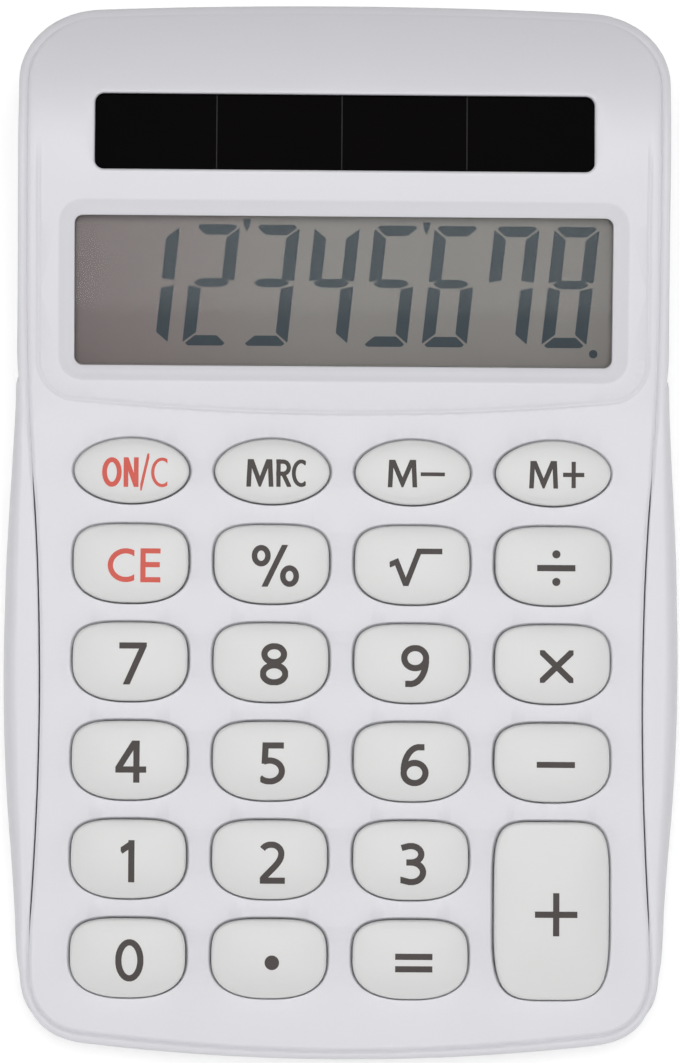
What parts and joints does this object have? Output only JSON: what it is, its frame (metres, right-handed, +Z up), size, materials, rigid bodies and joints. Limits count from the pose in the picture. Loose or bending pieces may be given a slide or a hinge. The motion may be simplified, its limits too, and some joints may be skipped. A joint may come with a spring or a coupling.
{
  "type": "desktop calculator",
  "caption": "Small solar desktop calculator with a rolled head, tilted display, side grips and sprung push keys on a sloping keyboard.",
  "frame": {"origin": "centre of the bounding box on the surface that the feet stand on", "axes": "+X to the user's right, +Y from the user's edge to the display end, +Z up"},
  "size_m": [0.073, 0.1132, 0.0207],
  "materials": {
    "white_shell": "white moulded plastic with a fine satin surface",
    "white_key": "white moulded plastic key tops with printed legends",
    "clear_window": "clear polished acrylic",
    "display_film": "grey polarising film with dark segments",
    "display_glass": "thin display glass",
    "reflector_foil": "matt metallised film",
    "contact_rubber": "layered conductive silicone strip",
    "solar_glass": "black amorphous silicon cells behind glass",
    "lead_red": "red insulated lead",
    "lead_black": "black insulated lead",
    "silicone": "pale grey silicone rubber",
    "board": "brown paper phenolic board",
    "resin": "black epoxy drop",
    "capacitor_sleeve": "dark blue sleeve",
    "diode_body": "red moulded body",
    "screw_steel": "zinc plated steel",
    "foot_rubber": "pale rubber feet"
  },
  "bodies": {
    "case": {"top_cover": "white_shell", "rear_case": "white_shell", "display_lens": "clear_window", "display_polariser": "display_film", "display_front_glass": "display_glass", "display_rear_glass": "display_glass", "display_reflector": "reflector_foil", "zebra_strip": "contact_rubber", "solar_panel": "solar_glass", "solar_lead_red": "lead_red", "solar_lead_black": "lead_black", "key_mat": "silicone", "circuit_board": "board", "chip_blob": "resin", "storage_capacitor": "capacitor_sleeve", "clamp_diode": "diode_body", "board_screw_1": "screw_steel", "board_screw_2": "screw_steel", "board_screw_3": "screw_steel", "board_screw_4": "screw_steel", "case_screw_1": "screw_steel", "case_screw_2": "screw_steel", "case_screw_3": "screw_steel", "case_screw_4": "screw_steel", "case_screw_5": "screw_steel", "case_screw_6": "screw_steel", "foot_front_left": "foot_rubber", "foot_front_right": "foot_rubber", "foot_back_left": "foot_rubber", "foot_back_right": "foot_rubber"},
    "key_0": {"key_0": "white_key"},
    "key_point": {"key_point": "white_key"},
    "key_equals": {"key_equals": "white_key"},
    "key_1": {"key_1": "white_key"},
    "key_2": {"key_2": "white_key"},
    "key_3": {"key_3": "white_key"},
    "key_4": {"key_4": "white_key"},
    "key_5": {"key_5": "white_key"},
    "key_6": {"key_6": "white_key"},
    "key_minus": {"key_minus": "white_key"},
    "key_7": {"key_7": "white_key"},
    "key_8": {"key_8": "white_key"},
    "key_9": {"key_9": "white_key"},
    "key_multiply": {"key_multiply": "white_key"},
    "key_clear_entry": {"key_clear_entry": "white_key"},
    "key_percent": {"key_percent": "white_key"},
    "key_root": {"key_root": "white_key"},
    "key_divide": {"key_divide": "white_key"},
    "key_on_clear": {"key_on_clear": "white_key"},
    "key_memory_recall": {"key_memory_recall": "white_key"},
    "key_memory_minus": {"key_memory_minus": "white_key"},
    "key_memory_plus": {"key_memory_plus": "white_key"},
    "key_plus": {"key_plus": "white_key"}
  },
  "joints": [
    {"name": "press_0", "type": "slide", "parent": "case", "child": "key_0", "axis": [0, 0.0785, -0.9969], "range_m": [0, 0.0008], "stiffness_N_per_m": 1000, "springref_m": -0.0005, "deforming": ["key_mat"]},
    {"name": "press_point", "type": "slide", "parent": "case", "child": "key_point", "axis": [0, 0.0785, -0.9969], "range_m": [0, 0.0008], "stiffness_N_per_m": 1000, "springref_m": -0.0005, "deforming": ["key_mat"]},
    {"name": "press_equals", "type": "slide", "parent": "case", "child": "key_equals", "axis": [0, 0.0785, -0.9969], "range_m": [0, 0.0008], "stiffness_N_per_m": 1000, "springref_m": -0.0005, "deforming": ["key_mat"]},
    {"name": "press_1", "type": "slide", "parent": "case", "child": "key_1", "axis": [0, 0.0785, -0.9969], "range_m": [0, 0.0008], "stiffness_N_per_m": 1000, "springref_m": -0.0005, "deforming": ["key_mat"]},
    {"name": "press_2", "type": "slide", "parent": "case", "child": "key_2", "axis": [0, 0.0785, -0.9969], "range_m": [0, 0.0008], "stiffness_N_per_m": 1000, "springref_m": -0.0005, "deforming": ["key_mat"]},
    {"name": "press_3", "type": "slide", "parent": "case", "child": "key_3", "axis": [0, 0.0785, -0.9969], "range_m": [0, 0.0008], "stiffness_N_per_m": 1000, "springref_m": -0.0005, "deforming": ["key_mat"]},
    {"name": "press_4", "type": "slide", "parent": "case", "child": "key_4", "axis": [0, 0.0785, -0.9969], "range_m": [0, 0.0008], "stiffness_N_per_m": 1000, "springref_m": -0.0005, "deforming": ["key_mat"]},
    {"name": "press_5", "type": "slide", "parent": "case", "child": "key_5", "axis": [0, 0.0785, -0.9969], "range_m": [0, 0.0008], "stiffness_N_per_m": 1000, "springref_m": -0.0005, "deforming": ["key_mat"]},
    {"name": "press_6", "type": "slide", "parent": "case", "child": "key_6", "axis": [0, 0.0785, -0.9969], "range_m": [0, 0.0008], "stiffness_N_per_m": 1000, "springref_m": -0.0005, "deforming": ["key_mat"]},
    {"name": "press_minus", "type": "slide", "parent": "case", "child": "key_minus", "axis": [0, 0.0785, -0.9969], "range_m": [0, 0.0008], "stiffness_N_per_m": 1000, "springref_m": -0.0005, "deforming": ["key_mat"]},
    {"name": "press_7", "type": "slide", "parent": "case", "child": "key_7", "axis": [0, 0.0785, -0.9969], "range_m": [0, 0.0008], "stiffness_N_per_m": 1000, "springref_m": -0.0005, "deforming": ["key_mat"]},
    {"name": "press_8", "type": "slide", "parent": "case", "child": "key_8", "axis": [0, 0.0785, -0.9969], "range_m": [0, 0.0008], "stiffness_N_per_m": 1000, "springref_m": -0.0005, "deforming": ["key_mat"]},
    {"name": "press_9", "type": "slide", "parent": "case", "child": "key_9", "axis": [0, 0.0785, -0.9969], "range_m": [0, 0.0008], "stiffness_N_per_m": 1000, "springref_m": -0.0005, "deforming": ["key_mat"]},
    {"name": "press_multiply", "type": "slide", "parent": "case", "child": "key_multiply", "axis": [0, 0.0785, -0.9969], "range_m": [0, 0.0008], "stiffness_N_per_m": 1000, "springref_m": -0.0005, "deforming": ["key_mat"]},
    {"name": "press_clear_entry", "type": "slide", "parent": "case", "child": "key_clear_entry", "axis": [0, 0.0785, -0.9969], "range_m": [0, 0.0008], "stiffness_N_per_m": 1000, "springref_m": -0.0005, "deforming": ["key_mat"]},
    {"name": "press_percent", "type": "slide", "parent": "case", "child": "key_percent", "axis": [0, 0.0785, -0.9969], "range_m": [0, 0.0008], "stiffness_N_per_m": 1000, "springref_m": -0.0005, "deforming": ["key_mat"]},
    {"name": "press_root", "type": "slide", "parent": "case", "child": "key_root", "axis": [0, 0.0785, -0.9969], "range_m": [0, 0.0008], "stiffness_N_per_m": 1000, "springref_m": -0.0005, "deforming": ["key_mat"]},
    {"name": "press_divide", "type": "slide", "parent": "case", "child": "key_divide", "axis": [0, 0.0785, -0.9969], "range_m": [0, 0.0008], "stiffness_N_per_m": 1000, "springref_m": -0.0005, "deforming": ["key_mat"]},
    {"name": "press_on_clear", "type": "slide", "parent": "case", "child": "key_on_clear", "axis": [0, 0.0785, -0.9969], "range_m": [0, 0.0008], "stiffness_N_per_m": 1000, "springref_m": -0.0005, "deforming": ["key_mat"]},
    {"name": "press_memory_recall", "type": "slide", "parent": "case", "child": "key_memory_recall", "axis": [0, 0.0785, -0.9969], "range_m": [0, 0.0008], "stiffness_N_per_m": 1000, "springref_m": -0.0005, "deforming": ["key_mat"]},
    {"name": "press_memory_minus", "type": "slide", "parent": "case", "child": "key_memory_minus", "axis": [0, 0.0785, -0.9969], "range_m": [0, 0.0008], "stiffness_N_per_m": 1000, "springref_m": -0.0005, "deforming": ["key_mat"]},
    {"name": "press_memory_plus", "type": "slide", "parent": "case", "child": "key_memory_plus", "axis": [0, 0.0785, -0.9969], "range_m": [0, 0.0008], "stiffness_N_per_m": 1000, "springref_m": -0.0005, "deforming": ["key_mat"]},
    {"name": "press_plus", "type": "slide", "parent": "case", "child": "key_plus", "axis": [0, 0.0785, -0.9969], "range_m": [0, 0.0008], "stiffness_N_per_m": 1000, "springref_m": -0.0005, "deforming": ["key_mat"]}
  ]
}
